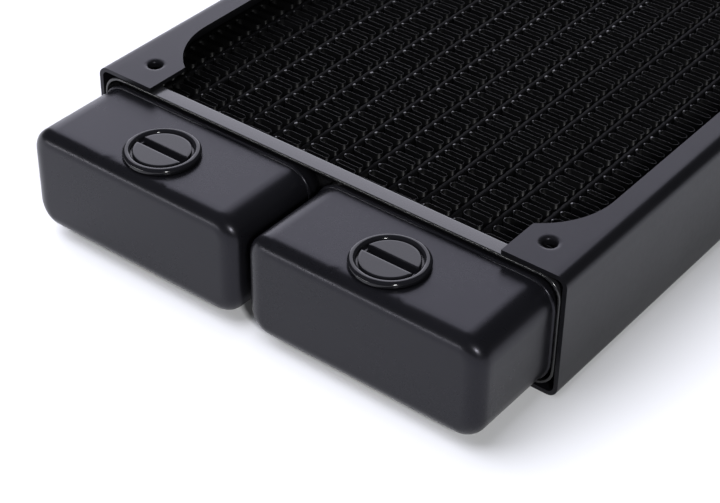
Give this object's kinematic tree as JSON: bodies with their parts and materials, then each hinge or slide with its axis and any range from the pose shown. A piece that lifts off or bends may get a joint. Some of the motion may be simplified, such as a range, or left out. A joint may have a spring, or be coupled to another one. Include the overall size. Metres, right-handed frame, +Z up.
{
  "type": "liquid cooling radiator",
  "caption": "Slim black liquid cooling radiator: flat tubes and folded fins between side panels with fan screw holes, front tanks with slotted port plugs, and a return tank behind.",
  "frame": {"origin": "centre of the overall box, on the plane of the lower flanges that the radiator rests on", "axes": "+Z up, out of the face with the plugged ports; +Y along the length, from the port end to the return end; +X across the width"},
  "size_m": [0.124, 0.277, 0.03],
  "materials": {
    "panel_paint": "satin black powder coat on steel sheet",
    "tank_paint": "satin black paint on drawn brass",
    "header_paint": "semi-gloss black paint on brass",
    "core_paint": "thin matt black paint on copper",
    "plug_black": "glossy black plated brass",
    "collar_brass": "turned brass",
    "seal_rubber": "matt black rubber"
  },
  "bodies": {
    "radiator": {"left_side_panel": "panel_paint", "right_side_panel": "panel_paint", "front_header": "header_paint", "rear_header": "header_paint", "left_front_tank": "tank_paint", "right_front_tank": "tank_paint", "return_tank": "tank_paint", "tube_01": "core_paint", "tube_02": "core_paint", "tube_03": "core_paint", "tube_04": "core_paint", "tube_05": "core_paint", "tube_06": "core_paint", "tube_07": "core_paint", "tube_08": "core_paint", "tube_09": "core_paint", "tube_10": "core_paint", "tube_11": "core_paint", "tube_12": "core_paint", "tube_13": "core_paint", "tube_14": "core_paint", "fin_row_01": "core_paint", "fin_row_02": "core_paint", "fin_row_03": "core_paint", "fin_row_04": "core_paint", "fin_row_05": "core_paint", "fin_row_06": "core_paint", "fin_row_07": "core_paint", "fin_row_08": "core_paint", "fin_row_09": "core_paint", "fin_row_10": "core_paint", "fin_row_11": "core_paint", "fin_row_12": "core_paint", "fin_row_13": "core_paint", "fin_row_14": "core_paint", "fin_row_15": "core_paint", "left_core_plate": "core_paint", "right_core_plate": "core_paint", "left_upper_port_collar": "collar_brass", "right_upper_port_collar": "collar_brass", "left_lower_port_collar": "collar_brass", "right_lower_port_collar": "collar_brass"},
    "left_seal": {"left_plug_seal": "seal_rubber"},
    "left_plug": {"left_plug": "plug_black"},
    "right_seal": {"right_plug_seal": "seal_rubber"},
    "right_plug": {"right_plug": "plug_black"}
  },
  "joints": [
    {"name": "left_plug_lift", "type": "slide", "parent": "radiator", "child": "left_seal", "axis": [0, 0, 1], "range_m": [0, 0.0054]},
    {"name": "left_plug_turn", "type": "hinge", "parent": "left_seal", "child": "left_plug", "pos_m": [-0.0301, -0.128, 0.027], "axis": [0, 0, 1], "range_deg": [0, 1440]},
    {"name": "right_plug_lift", "type": "slide", "parent": "radiator", "child": "right_seal", "axis": [0, 0, 1], "range_m": [0, 0.0054]},
    {"name": "right_plug_turn", "type": "hinge", "parent": "right_seal", "child": "right_plug", "pos_m": [0.0301, -0.128, 0.027], "axis": [0, 0, 1], "range_deg": [0, 1440]}
  ],
  "couplings": [
    {"joint": "left_plug_lift", "follows": "left_plug_turn", "m_per_rad": 0.00021279},
    {"joint": "right_plug_lift", "follows": "right_plug_turn", "m_per_rad": 0.00021279}
  ]
}
